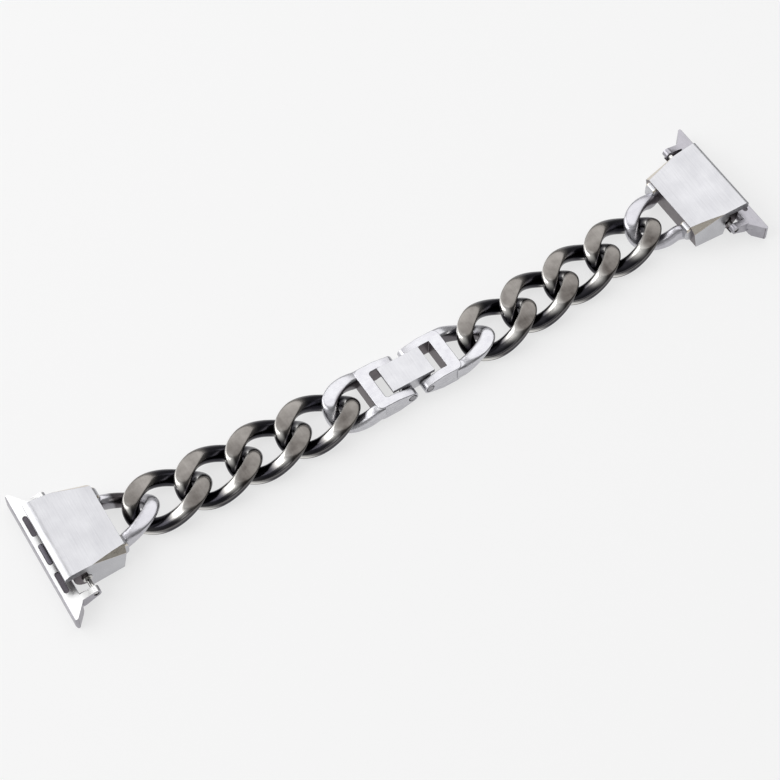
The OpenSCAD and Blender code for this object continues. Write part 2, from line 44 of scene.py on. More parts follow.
# where each unit lies on the surface, in mm and degrees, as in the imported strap
layOut = {
    "pitch": 8.6, "linksEachSide": 4,
    "headClasp": 1.5, "headLinksLeft": 1.0, "headLink2": 0.0, "headLink1": -2.0, "headBodyLeft": -0.3,
    "headLinksRight": 6.9, "headBodyRight": 2.0,
    "playLeft": 0.3, "playRight": 0.2,      # how far each end body lies to one side of its last link
    "bodyLoopX": 11.2, "pinGap": 3.2, "loopXLeft": 6.05, "loopXRight": 6.5,
    "claspX": -0.2630, "claspY": -2.6556,   # middle of the clasp
}


def turned(angle, x, y=0):
    c, s = cos(radians(angle)), sin(radians(angle))
    return np.array([x * c - y * s, x * s + y * c])


# walks outwards from the clasp both ways, half a pitch along one unit and half a pitch along the next
def unitPlaces():
    lay = layOut
    half, links = lay["pitch"] / 2, lay["linksEachSide"]
    last = links + 1
    left = [lay[key] for key in ("headClasp", "headLinksLeft", "headLinksLeft", "headLink2", "headLink1",
                                 "headBodyLeft")]
    right = [lay["headClasp"]] + [lay["headLinksRight"]] * links + [lay["headBodyRight"]]
    middle = np.array([lay["claspX"], lay["claspY"]])
    found = {"clasp": (middle, lay["headClasp"])}
    for end, way, heads in (("Left", -1, left), ("Right", 1, right)):
        spot = middle + way * turned(heads[0], lay["pinGap"] / 2 + lay["loopX" + end])
        for i in range(1, last + 1):
            spot = spot + way * turned(heads[i - 1], half) + way * turned(heads[i], half)
            if i < last:
                number = links + i if way > 0 else last - i
                found[f"link_{number}"] = (spot, heads[i])
        spot = spot + turned(heads[last], way * lay["bodyLoopX"], lay["play" + end])
        found["end_" + end.lower()] = (spot, heads[last] + (180 if way > 0 else 0))
    return found


places = unitPlaces()


# takes a unit's own millimetres to the strap's metres
def unitMatrix(unit, shiftX=0.0, turn=0.0):
    spot, angle = places[unit]
    place = Matrix.Translation((spot[0] * mm, spot[1] * mm, 0)) @ Matrix.Rotation(radians(angle), 4, "Z")
    place = place @ Matrix.Scale(mm, 4) @ Matrix.Translation((shiftX, 0, 0))
    return place @ Matrix.Rotation(radians(turn), 4, "Z")


# hangs a camera or a lamp out on its bearing and height, turned to the point in mm that it is aimed at
def hang(name, data, look, aim=(0.0, 0.0, 0.0)):
    bearing, height = radians(look["bearing"]), radians(look["height"])
    away = Vector((sin(bearing) * cos(height), -cos(bearing) * cos(height), sin(height)))
    obj = bpy.data.objects.new(name, data)
    obj.location = Vector(aim) * mm + away * look["distance"]
    obj.rotation_euler = away.to_track_quat("Z", "Y").to_euler()
    scene.collection.objects.link(obj)
    return obj


# camera solved from the photo, aimed at a point beside the clasp
view = {"bearing": -30.64, "height": 57.88, "distance": 0.357, "angle": 19.16, "aim": (-3.51, -2.76, 0.0),
        "nearest": 0.01, "furthest": 20}
camData = bpy.data.cameras.new("photoCamera")
camData.angle = radians(view["angle"])
camData.clip_start = view["nearest"]
camData.clip_end = view["furthest"]
scene.camera = hang("photoCamera", camData, view, view["aim"])
print("camera set")


# sRGB hex to the linear values that Blender's sockets take
def toLinear(code):
    parts = [int(code[i:i + 2], 16) / 255 for i in (1, 3, 5)]
    return [c / 12.92 if c <= 0.04045 else ((c + 0.055) / 1.055) ** 2.4 for c in parts] + [1.0]


# adds one node; settings are inputs by name or number, or the node's own options
def addNode(tree, kind, settings=None, links=None):
    node = tree.nodes.new(kind)
    for key, value in (settings or {}).items():
        if isinstance(key, int) or key in node.inputs:
            node.inputs[key].default_value = value
        else:
            setattr(node, key, value)
    for key, source in (links or {}).items():
        tree.links.new(source, node.inputs[key])
    return node


def startMaterial(name):
    mat = bpy.data.materials.new(name)
    mat.use_nodes = True
    mat.node_tree.nodes.clear()
    return mat, mat.node_tree


# alike on every brushed piece: the streaks lead, slow clouds of tone lie under them, and roughness follows
brush = {"streakShare": 0.65, "cloudShare": 0.35, "darkUpTo": 0.3, "lightFrom": 0.7, "smoother": 0.05,
         "rougher": 0.07, "lineHeightMm": 0.02}


# stainless steel with fine parallel brush lines: satin, streaked across the brushing
def brushedSteel(name, look):
    mat, tree = startMaterial(name)
    coord = addNode(tree, "ShaderNodeTexCoord")
    fine, run = metre / look["lineMm"], metre / (look["lineMm"] * look["lineStretch"])
    scale = (fine, run, fine) if look["along"] == "y" else (run, fine, fine)
    lines = addNode(tree, "ShaderNodeMapping", {"Scale": scale, "Rotation": (0, 0, -radians(look["turn"]))},
                    {"Vector": coord.outputs["Object"]})
    streak = addNode(tree, "ShaderNodeTexNoise", {"Scale": 1.0, "Detail": 3.0, "Roughness": 0.6},
                     {"Vector": lines.outputs[0]})
    cloud = addNode(tree, "ShaderNodeTexNoise", {"Scale": metre / look["cloudMm"], "Detail": 2.0},
                    {"Vector": coord.outputs["Object"]})
    under = addNode(tree, "ShaderNodeMath", {"operation": "MULTIPLY", 1: brush["cloudShare"]},
                    {0: cloud.outputs["Fac"]})
    blend = addNode(tree, "ShaderNodeMath", {"operation": "MULTIPLY_ADD", 1: brush["streakShare"]},
                    {0: streak.outputs["Fac"], 2: under.outputs[0]})
    colour = addNode(tree, "ShaderNodeValToRGB", {}, {"Fac": blend.outputs[0]})
    low, high = colour.color_ramp.elements
    low.position, high.position = brush["darkUpTo"], brush["lightFrom"]
    low.color, high.color = toLinear(look["dark"]), toLinear(look["light"])
    rough = addNode(tree, "ShaderNodeMapRange",
                    {"From Min": brush["darkUpTo"], "From Max": brush["lightFrom"],
                     "To Min": look["roughness"] - brush["smoother"],
                     "To Max": look["roughness"] + brush["rougher"]}, {"Value": streak.outputs["Fac"]})
    bump = addNode(tree, "ShaderNodeBump",
                   {"Strength": look["lineDepth"], "Distance": brush["lineHeightMm"] * mm},
                   {"Height": streak.outputs["Fac"]})
    tint = colour.outputs[0]
    # painted shade: where the mask is set, the tint is mixed towards a darker grey
    if "shadePaint" in look:
        shadeMask = addNode(tree, "ShaderNodeAttribute", {"attribute_name": "shadePaint"})
        shadedTint = addNode(tree, "ShaderNodeMix", {"data_type": "RGBA", 7: toLinear(look["shadePaint"])},
                        {"Factor": shadeMask.outputs["Fac"], 6: tint})
        tint = shadedTint.outputs[2]
    metal = addNode(tree, "ShaderNodeBsdfPrincipled", {"Metallic": 1.0},
                    {"Base Color": tint, "Roughness": rough.outputs[0], "Normal": bump.outputs[0]})
    addNode(tree, "ShaderNodeOutputMaterial", {}, {"Surface": metal.outputs[0]})
    return mat


# the grinding lines are drawn as coarse as the brush lines; the shares say what makes a ground face lighter,
# the last of them painted light
linkLook = {
    "groundLight": "#918D89", "groundDark": "#413C39", "groundFade": (0.25, 0.75), "groundRoughness": 0.3,
    "blackWorn": "#3C3B40", "blackDeep": "#2C2B31", "blackFade": (0.35, 0.7), "blackRoughness": 0.16,
    # painted highlights: near-white for the rims, grey for the streaks on crests and near flanks
    "rimHighlight": "#F1EFEB", "paintedSheen": "#A29F9C",
    "lineMm": 0.3, "lineStretch": 14, "lineDepth": 0.12, "lineHeightMm": 0.02, "grindTurn": 25,
    # the last share is painted light: flats lighter towards the far side and over the right half
    "stainMm": 2.4, "stainShare": 0.55, "lineShare": 0.1, "paintedLightShare": 0.4,
}


# steel blackened all over, then ground flat on top and below: grey flats, glossy black hollows, and pale rims
# and grey streaks as painted highlights
def blackenedGroundSteel(name, look):
    mat, tree = startMaterial(name)
    coord = addNode(tree, "ShaderNodeTexCoord")
    ground = addNode(tree, "ShaderNodeAttribute", {"attribute_name": "ground"})
    rimHighlight = addNode(tree, "ShaderNodeAttribute", {"attribute_name": "rimHighlight"})
    paintedSheen = addNode(tree, "ShaderNodeAttribute", {"attribute_name": "paintedSheen"})
    paintedLightSide = addNode(tree, "ShaderNodeAttribute", {"attribute_name": "paintedLightSide"})
    scale = (metre / look["lineMm"], metre / (look["lineMm"] * look["lineStretch"]), metre)
    lines = addNode(tree, "ShaderNodeMapping",
                    {"Scale": scale, "Rotation": (0, 0, radians(look["grindTurn"]))},
                    {"Vector": coord.outputs["Object"]})
    streak = addNode(tree, "ShaderNodeTexNoise", {"Scale": 1.0, "Detail": 2.0}, {"Vector": lines.outputs[0]})
    stain = addNode(tree, "ShaderNodeTexNoise",
                    {"Scale": metre / look["stainMm"], "Detail": 4.0, "Roughness": 0.6},
                    {"Vector": coord.outputs["Object"]})
    grinding = addNode(tree, "ShaderNodeMath", {"operation": "MULTIPLY", 1: look["lineShare"]},
                       {0: streak.outputs["Fac"]})
    mottle = addNode(tree, "ShaderNodeMath", {"operation": "MULTIPLY_ADD", 1: look["stainShare"]},
                     {0: stain.outputs["Fac"], 2: grinding.outputs[0]})
    # painted light: the flats are drawn lighter towards the far side and over the right half
    tone = addNode(tree, "ShaderNodeMath", {"operation": "MULTIPLY_ADD", 1: look["paintedLightShare"]},
                   {0: paintedLightSide.outputs["Fac"], 2: mottle.outputs[0]})
    face = addNode(tree, "ShaderNodeValToRGB", {}, {"Fac": tone.outputs[0]})
    low, high = face.color_ramp.elements
    low.position, high.position = look["groundFade"]
    low.color, high.color = toLinear(look["groundDark"]), toLinear(look["groundLight"])
    oxide = addNode(tree, "ShaderNodeValToRGB", {}, {"Fac": stain.outputs["Fac"]})
    low, high = oxide.color_ramp.elements
    low.position, high.position = look["blackFade"]
    low.color, high.color = toLinear(look["blackDeep"]), toLinear(look["blackWorn"])
    # painted highlight: grey streaks mixed in over the black on crests and near flanks
    sheened = addNode(tree, "ShaderNodeMix", {"data_type": "RGBA", 7: toLinear(look["paintedSheen"])},
                     {"Factor": paintedSheen.outputs["Fac"], 6: oxide.outputs[0]})
    base = addNode(tree, "ShaderNodeMix", {"data_type": "RGBA"},
                   {"Factor": ground.outputs["Fac"], 6: sheened.outputs[2], 7: face.outputs[0]})
    # painted highlight: near-white rims along the flats' edges that lean to the left
    edged = addNode(tree, "ShaderNodeMix", {"data_type": "RGBA", 7: toLinear(look["rimHighlight"])},
                    {"Factor": rimHighlight.outputs["Fac"], 6: base.outputs[2]})
    rough = addNode(tree, "ShaderNodeMapRange",
                    {"To Min": look["blackRoughness"], "To Max": look["groundRoughness"]},
                    {"Value": ground.outputs["Fac"]})
    height = addNode(tree, "ShaderNodeMath", {"operation": "MULTIPLY"},
                     {0: streak.outputs["Fac"], 1: ground.outputs["Fac"]})
    bump = addNode(tree, "ShaderNodeBump",
                   {"Strength": look["lineDepth"], "Distance": look["lineHeightMm"] * mm},
                   {"Height": height.outputs[0]})
    metal = addNode(tree, "ShaderNodeBsdfPrincipled", {"Metallic": 1.0},
                    {"Base Color": edged.outputs[2], "Roughness": rough.outputs[0],
                     "Normal": bump.outputs[0]})
    addNode(tree, "ShaderNodeOutputMaterial", {}, {"Surface": metal.outputs[0]})
    return mat


# the grain of such rubber is about 0.05 mm; it is drawn at 0.3 mm so that it shows
padLook = {"dark": "#5A555C", "light": "#6E6871", "roughness": 0.5, "ior": 1.5,
           "grainMm": 0.3, "grainDepth": 0.3, "grainHeightMm": 0.03}


# moulded rubber: dark grey, matt, with a faint grain from the mould
def mouldedRubber(name, look):
    mat, tree = startMaterial(name)
    coord = addNode(tree, "ShaderNodeTexCoord")
    grain = addNode(tree, "ShaderNodeTexNoise", {"Scale": metre / look["grainMm"], "Detail": 2.0},
                    {"Vector": coord.outputs["Object"]})
    colour = addNode(tree, "ShaderNodeValToRGB", {}, {"Fac": grain.outputs["Fac"]})
    low, high = colour.color_ramp.elements
    low.color, high.color = toLinear(look["dark"]), toLinear(look["light"])
    bump = addNode(tree, "ShaderNodeBump",
                   {"Strength": look["grainDepth"], "Distance": look["grainHeightMm"] * mm},
                   {"Height": grain.outputs["Fac"]})
    skin = addNode(tree, "ShaderNodeBsdfPrincipled", {"Roughness": look["roughness"], "IOR": look["ior"]},
                   {"Base Color": colour.outputs[0], "Normal": bump.outputs[0]})
    addNode(tree, "ShaderNodeOutputMaterial", {}, {"Surface": skin.outputs[0]})
    return mat


# brush lines on real steel are about 0.05 mm apart; they are drawn 0.2 mm and more so that they show
finishes = {
    # brushed from side to side: long fine lines and a silky pale top
    "brushedBodySteel": {
        "light": "#CDCDD0", "dark": "#B2B2B6", "roughness": 0.34, "along": "y", "turn": 0,
        "lineMm": 0.22, "lineStretch": 22, "lineDepth": 0.4, "cloudMm": 3.0},
    # brushed along the bevel and smoother than the top, with painted light that makes it lighter and a little
    # warmer
    "paintedLightBevelSteel": {
        "light": "#E2DBD0", "dark": "#CCC4B8", "roughness": 0.3, "along": "x", "turn": 0,
        "lineMm": 0.25, "lineStretch": 6, "lineDepth": 0.2, "cloudMm": 1.0},
    # painted shade: a dull dark steel for hollows, inner walls and faces under other parts
    "paintedShadeSteel": {
        "light": "#7E777A", "dark": "#5E585B", "roughness": 0.38, "along": "x", "turn": 0,
        "lineMm": 0.3, "lineStretch": 3, "lineDepth": 0.25, "cloudMm": 1.2},
    # brushed lightly along the strap: bright, with grey painted shade inside the clasp loops
    "brushedClaspSteel": {
        "light": "#D2D2D5", "dark": "#B7B6BC", "roughness": 0.29, "along": "x", "turn": 1.5,
        "lineMm": 0.25, "lineStretch": 5, "lineDepth": 0.3, "cloudMm": 1.0, "shadePaint": "#6A666A"},
    # brushed across the strap: straight lines that set the cover off from its frames
    "brushedCoverSteel": {
        "light": "#CECED1", "dark": "#B6B6BA", "roughness": 0.33, "along": "y", "turn": 1.5,
        "lineMm": 0.2, "lineStretch": 18, "lineDepth": 0.4, "cloudMm": 2.0},
    # painted light: the connector steel drawn nearly white, with hardly a line, for the left T-bar's top
    "paintedLightConnectorSteel": {
        "light": "#ECECEC", "dark": "#DEDEDE", "roughness": 0.3, "along": "y", "turn": 0,
        "lineMm": 0.25, "lineStretch": 10, "lineDepth": 0.15, "cloudMm": 2.0},
    # painted shade: the same steel drawn an even grey satin, for the T-bars' sides and the right one's top
    "paintedShadeConnectorSteel": {
        "light": "#B2B0B6", "dark": "#9B999F", "roughness": 0.32, "along": "y", "turn": 0,
        "lineMm": 0.25, "lineStretch": 5, "lineDepth": 0.2, "cloudMm": 1.2},
    # cast and tumbled: soft satin with no clear lines, with dark painted shade inside the loop and on the
    # left far arm
    "tumbledLoopSteel": {
        "light": "#CCCBD0", "dark": "#B7B6BC", "roughness": 0.32, "along": "x", "turn": 0,
        "lineMm": 0.3, "lineStretch": 5, "lineDepth": 0.12, "cloudMm": 1.2, "shadePaint": "#575255"},
    # drawn and polished: sharp bright highlights
    "polishedBarSteel": {
        "light": "#DAD9D7", "dark": "#C2C0BD", "roughness": 0.14, "along": "x", "turn": 0,
        "lineMm": 0.25, "lineStretch": 4, "lineDepth": 0.08, "cloudMm": 0.8},
    # turned: mid grey with short marks
    "turnedPinSteel": {
        "light": "#A9A8AB", "dark": "#858488", "roughness": 0.3, "along": "x", "turn": 0,
        "lineMm": 0.2, "lineStretch": 3, "lineDepth": 0.2, "cloudMm": 0.6},
    # stamped and left raw: darker than the connector round it
    "stampedCatchSteel": {
        "light": "#84818A", "dark": "#636067", "roughness": 0.3, "along": "x", "turn": 0,
        "lineMm": 0.2, "lineStretch": 3, "lineDepth": 0.2, "cloudMm": 0.6},
    # hard drawn wire: dull grey
    "drawnSpringSteel": {
        "light": "#9C9A98", "dark": "#76757A", "roughness": 0.3, "along": "x", "turn": 0,
        "lineMm": 0.2, "lineStretch": 4, "lineDepth": 0.2, "cloudMm": 0.6},
}
steel = {name: brushedSteel(name, look) for name, look in finishes.items()}
linkSteel = blackenedGroundSteel("blackenedGroundSteel", linkLook)
rubber = mouldedRubber("mouldedRubber", padLook)
print("materials made")


def giveFinish(mesh, *mats):
    mesh.materials.clear()
    for mat in mats:
        mesh.materials.append(mat)


# a piece of several finishes has them on its mesh already and comes without a material
def makePiece(name, mesh, mat, body, replaced=()):
    obj = bpy.data.objects.new(name, mesh)
    scene.collection.objects.link(obj)
    if mat is not None:
        giveFinish(mesh, mat)
    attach(obj, body)
    if replaced:
        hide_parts(*replaced)


# gives a mesh several finishes; the rule says which of them a face takes, from its middle and its direction
def dressFaces(mesh, names, rule):
    giveFinish(mesh, *[steel[name] for name in names])
    for face in mesh.polygons:
        face.material_index = rule(face.center, face.normal)


def normalised(v):
    return v / np.linalg.norm(v, axis=-1, keepdims=True)


# the rounding into the flats starts this many mm below them; the limit keeps exp from overflowing
flatten = {"from": 0.4, "limit": 40}


# one wire section after another: an ellipse whose top and bottom are ground off at the chain's height
def wireRows(path, tangents, up, side, height, around, softness, squared=1.0):
    lift = normalised(np.array([0, 0, 1.0]) - tangents * tangents[:, 2:3])
    across = np.cross(tangents, lift)
    q = np.linspace(0, 2 * pi, around, endpoint=False)
    up, side = np.asarray(up).reshape(-1, 1, 1), np.asarray(side).reshape(-1, 1, 1)
    power = np.asarray(squared).reshape(-1, 1)
    rise = (np.sign(np.cos(q)) * np.abs(np.cos(q)) ** power)[..., None]
    reach = (np.sign(np.sin(q)) * np.abs(np.sin(q)) ** power)[..., None]
    pts = path[:, None] + up * rise * lift[:, None] + side * reach * across[:, None]
    half = height / 2
    raw = np.abs(pts[..., 2]) - half
    level = half - softness * np.log1p(np.exp(np.clip(-raw / softness, -flatten["limit"], flatten["limit"])))
    pts[..., 2] = np.where(raw > -flatten["from"], np.sign(pts[..., 2]) * level, pts[..., 2]) + half
    facing = side * np.cos(q)[None, :, None] * lift[:, None] + up * np.sin(q)[None, :, None] * across[:, None]
    return pts, raw, normalised(facing)


def rowFaces(rows, around, closed):
    faces = []
    for i in range(rows if closed else rows - 1):
        j = (i + 1) % rows
        for k in range(around):
            n = (k + 1) % around
            faces.append((i * around + k, j * around + k, j * around + n, i * around + n))
    if not closed:
        faces.append(tuple(reversed(range(around))))
        faces.append(tuple((rows - 1) * around + k for k in range(around)))
    return faces


# the marks are values from 0 to 1 at each point, which the materials read
def meshFrom(name, pts, faces, matrix, marks):
    mesh = bpy.data.meshes.new(name)
    mesh.from_pydata([tuple(p) for p in pts.reshape(-1, 3)], [], faces)
    for key, values in marks.items():
        layer = mesh.attributes.new(key, "FLOAT", "POINT")
        layer.data.foreach_set("value", np.asarray(values, np.float32).ravel())
    mesh.transform(matrix)
    mesh.update()
    bm = bmesh.new()
    bm.from_mesh(mesh)
    bmesh.ops.recalc_face_normals(bm, faces=bm.faces)
    bm.to_mesh(mesh)
    bm.free()
    mesh.shade_smooth()
    return mesh


# curb link: a twisted oval of wire, ground flat above and below; sizes in mm, the twist in degrees
curb = {"halfLength": 5.82, "halfWidth": 3.68, "twist": 44.0, "squareness": 0.9, "wireUp": 1.17,
        "wireSide": 1.36, "height": 3.6, "edgeSoftness": 0.12, "fineSteps": 1440, "rows": 220, "around": 84}
# how far below the flat each mark lies, its width, in mm, and over which leans of a face it comes up; the
# flank's rise and width are leans too, and its span is a share of the half width
# the rim, crest and flank marks are painted highlights
groundAndHighlight = {"topEdge": 0.32, "topFade": 0.12, "underEdge": 0.42, "underFade": 0.1, "limit": 30,
        "rimDrop": 0.4, "rimWidth": 0.42, "rimLean": (0.08, 0.4),
        "crestDrop": 0.65, "crestWidth": 0.4, "crestRise": (0.55, 0.92), "crestLean": (0.02, 0.3),
        "flankRise": 0.42, "flankWidth": 0.16, "flankOut": (0.45, 0.8), "flankSpan": (0.5, 0.85),
        "flankShare": 0.32}


def curbPoint(t, halfLength, halfWidth, squareness):
    x = halfLength * np.sign(np.cos(t)) * np.abs(np.cos(t)) ** squareness
    w = halfWidth * np.sign(np.sin(t)) * np.abs(np.sin(t)) ** squareness
    lean = -radians(curb["twist"]) * x / halfLength
    return np.stack([x, w * np.cos(lean), w * np.sin(lean)], -1)


# the same path in steps of equal length
def evenly(points, count, closed):
    loop = np.vstack([points, points[:1]]) if closed else points
    steps = np.r_[0, np.cumsum(np.linalg.norm(np.diff(loop, axis=0), axis=1))]
    at = np.linspace(0, steps[-1], count, endpoint=not closed)
    return np.stack([np.interp(at, steps, loop[:, k]) for k in range(3)], -1)


# 0 below lo, 1 above hi and smooth between
def ramp(value, lo, hi):
    share = np.clip((value - lo) / (hi - lo), 0, 1)
    return share * share * (3 - 2 * share)


# ground flats where the black is gone; painted highlights on left-leaning rims and crests and near flanks;
# painted light on far and right sides
def groundAndPaintedLightMarks(path, raw, facing):
    w = groundAndHighlight
    above = facing[..., 2] > 0
    edge = np.where(above, w["topEdge"], w["underEdge"])
    fade = np.where(above, w["topFade"], w["underFade"])
    ground = 1 / (1 + np.exp(-np.clip((raw + edge) / fade, -w["limit"], w["limit"])))
    # painted highlight on rims that lean to the left
    leftward = ramp(-facing[..., 0], *w["rimLean"]) * above
    rimHighlight = np.exp(-((raw + w["rimDrop"]) / w["rimWidth"]) ** 2) * leftward
    # painted highlight on crests that lean to the left, then on the near flanks
    crest = ramp(facing[..., 2], *w["crestRise"]) * ramp(-facing[..., 0], *w["crestLean"])
    paintedSheen = np.exp(-((raw + w["crestDrop"]) / w["crestWidth"]) ** 2) * crest
    outward = facing[..., 1] * np.sign(path[:, 1])[:, None]
    flank = np.exp(-((facing[..., 2] - w["flankRise"]) / w["flankWidth"]) ** 2)
    flank = flank * ramp(outward, *w["flankOut"]) * (facing[..., 1] < 0)
    span = ramp(np.abs(path[:, 1]) / curb["halfWidth"], *w["flankSpan"])
    paintedSheen = np.maximum(paintedSheen, w["flankShare"] * flank * span[:, None])
    # painted light: lighter towards the far side and over the right half of the link
    paintedLightSide = np.clip(path[:, 1] / curb["halfWidth"] + (path[:, 0] > 0), 0, 1)
    paintedLightSide = np.repeat(paintedLightSide[:, None], raw.shape[1], axis=1)
    return {"ground": ground, "rimHighlight": rimHighlight, "paintedSheen": paintedSheen, "paintedLightSide": paintedLightSide}


def makeLink(number):
    c = curb
    t = np.linspace(0, 2 * pi, c["fineSteps"], endpoint=False) + pi / c["fineSteps"]
    path = evenly(curbPoint(t, c["halfLength"], c["halfWidth"], c["squareness"]), c["rows"], True)
    tangents = normalised(np.roll(path, -1, 0) - np.roll(path, 1, 0))
    pts, raw, facing = wireRows(path, tangents, c["wireUp"], c["wireSide"], c["height"], c["around"],
                                c["edgeSoftness"])
    mesh = meshFrom(f"curbLink{number}", pts, rowFaces(c["rows"], c["around"], True),
                    unitMatrix(f"link_{number}"), groundAndPaintedLightMarks(path, raw, facing))
    makePiece(f"curbLink{number}", mesh, linkSteel, f"link_{number}", [f"chain_link_{number}"])


for number in range(1, 2 * layOut["linksEachSide"] + 1):
    makeLink(number)
print("curb links made")

# how finely a half loop is drawn, and how often its path is smoothed where the arms run into the bend
loopMesh = {"bendSteps": 181, "armSteps": 30, "rows": 150, "around": 72, "smoothing": 14}
# where the painted shade goes: the side of the wire, then mm across and along the loop
shadeSpan = {"wall": (0.5, 0.95), "farSide": (1.0, 2.6), "armFade": 0.8, "bend": (4.2, 5.6)}


# half loop: arms rise from a block and close in a half curb link; it opens towards -x
def halfLoop(form, depth):
    f, m = form, loopMesh
    t = np.radians(np.linspace(-90, 90, m["bendSteps"]))
    bend = curbPoint(t, f["reach"], f["halfWidth"], f["bendSquare"])
    arm = np.linspace(0, 1, m["armSteps"])[:-1]
    near = np.stack([-depth * (1 - arm), -f["halfWidth"] - f["spread"] * (1 - arm), 0 * arm], -1)
    far = near[::-1] * [1, -1, 1]
    path = evenly(np.vstack([near, bend, far]), m["rows"], False)
    for _ in range(m["smoothing"]):
        path[1:-1] = (path[:-2] + 2 * path[1:-1] + path[2:]) / 4
    tangents = normalised(np.gradient(path, axis=0))
    share = np.clip((path[:, 0] + depth) / (depth + f["reach"] * f["blend"]), 0, 1)
    share = share * share * (3 - 2 * share) * 0.5 + share * 0.5     # half eased, half even
    up = f["upAtRoot"] + (f["upAtEnd"] - f["upAtRoot"]) * share
    side = f["sideAtRoot"] + (f["sideAtEnd"] - f["sideAtRoot"]) * share
    squared = f["squareness"] + (1 - f["squareness"]) * share
    pts, _, _ = wireRows(path, tangents, up, side, f["height"], m["around"], f["softness"], squared)
    return pts, rowFaces(len(path), m["around"], False)


# painted shade: the walls inside a loop are drawn dark, and where armFrom is given so is the far arm from
# there on
def loopShadePaint(pts, inside, armFrom=None):
    inwards = -np.sin(np.linspace(0, 2 * pi, loopMesh["around"], endpoint=False))
    marks = ramp(inwards, *shadeSpan["wall"])[None, :] * inside * np.ones((len(pts), 1))
    if armFrom is not None:
        arm = ramp(pts[..., 1], *shadeSpan["farSide"]) * ramp(pts[..., 0], armFrom, armFrom + shadeSpan["armFade"])
        marks = np.maximum(marks, arm * (1 - ramp(pts[..., 0], *shadeSpan["bend"])))
    return {"shadePaint": marks}


# how meshes are cleaned and rounded: points this close join, in mm, and faces this flat merge, in degrees
meshing = {"join": 0.0005, "flat": 0.4, "packedJoin": 0.001, "packedFlat": 0.6, "sharp": 28.0, "segments": 3,
           "flatWeight": 60}


def newMesh(name, bm):
    bmesh.ops.remove_doubles(bm, verts=bm.verts, dist=meshing["join"])
    bmesh.ops.recalc_face_normals(bm, faces=bm.faces)
    mesh = bpy.data.meshes.new(name)
    bm.to_mesh(mesh)
    bm.free()
    return mesh


# an outline given thickness: along y the outline is (x, z), along z it is (x, y)
def prism(outline, lo, hi, along="y"):
    bm = bmesh.new()
    rings = []
    for level in (lo, hi):
        rings.append([bm.verts.new((a, level, b) if along == "y" else (a, b, level)) for a, b in outline])
    bm.faces.new(rings[0])
    bm.faces.new(list(reversed(rings[1])))
    n = len(outline)
    for k in range(n):
        bm.faces.new((rings[0][k], rings[1][k], rings[1][(k + 1) % n], rings[0][(k + 1) % n]))
    bmesh.ops.recalc_face_normals(bm, faces=bm.faces)
    return bm


def sliceOff(bm, point, outward):
    result = bmesh.ops.bisect_plane(bm, geom=bm.verts[:] + bm.edges[:] + bm.faces[:], plane_co=point,
                                    plane_no=Vector(outward).normalized(), clear_outer=True)
    edges = [g for g in result["geom_cut"] if isinstance(g, bmesh.types.BMEdge)]
    bmesh.ops.contextual_create(bm, geom=edges)
    bmesh.ops.recalc_face_normals(bm, faces=bm.faces)


def arc(x, y, radius, start, stop, count=8):
    turns = [radians(a) for a in np.linspace(start, stop, count)]
    return [(x + radius * cos(a), y + radius * sin(a)) for a in turns]


def circle(x, y, radius, count=48):
    return arc(x, y, radius, 0, 360, count + 1)[:-1]


def evaluated(obj):
    graph = bpy.context.evaluated_depsgraph_get()
    graph.update()
    return bpy.data.meshes.new_from_object(obj.evaluated_get(graph))


# boolean of closed meshes, all in one unit's millimetres
def carve(bm, tools):
    base = bpy.data.objects.new("carveBase", newMesh("carveBase", bm))
    scene.collection.objects.link(base)
    held = []
    for operation, tool in tools:
        helper = bpy.data.objects.new("carveTool", newMesh("carveTool", tool))
        scene.collection.objects.link(helper)
        step = base.modifiers.new("carve", "BOOLEAN")
        step.operation, step.object, step.solver = operation, helper, "EXACT"
        held.append(helper)
    done = evaluated(base)
    for obj in held + [base]:
        bpy.data.objects.remove(obj)
    out = bmesh.new()
    out.from_mesh(done)
    bpy.data.meshes.remove(done)
    bmesh.ops.dissolve_limit(out, angle_limit=radians(meshing["flat"]), verts=out.verts, edges=out.edges)
    return out


# rounds every edge sharper than the given angle, then keeps flat faces flat in the shading
def roundEdges(name, bm, width, sharp=meshing["sharp"]):
    obj = bpy.data.objects.new(name, newMesh(name, bm))
    scene.collection.objects.link(obj)
    step = obj.modifiers.new("round", "BEVEL")
    step.width, step.segments = width, meshing["segments"]
    step.limit_method, step.angle_limit = "ANGLE", radians(sharp)
    step.use_clamp_overlap = True
    step.miter_outer = "MITER_ARC"
    obj.data.shade_smooth()
    even = obj.modifiers.new("even", "WEIGHTED_NORMAL")
    even.keep_sharp = False
    even.weight = meshing["flatWeight"]
    mesh = evaluated(obj)
    bpy.data.objects.remove(obj)
    mesh.name = name
    return mesh


def joined(name, meshes):
    obj = bpy.data.objects.new(name, meshes[0])
    scene.collection.objects.link(obj)
    others = []
    for mesh in meshes[1:]:
        other = bpy.data.objects.new(name + "Part", mesh)
        scene.collection.objects.link(other)
        others.append(other)
    with bpy.context.temp_override(active_object=obj, selected_objects=[obj] + others,
                                   selected_editable_objects=[obj] + others):
        bpy.ops.object.join()
    mesh = obj.data
    bpy.data.objects.remove(obj)
    return mesh


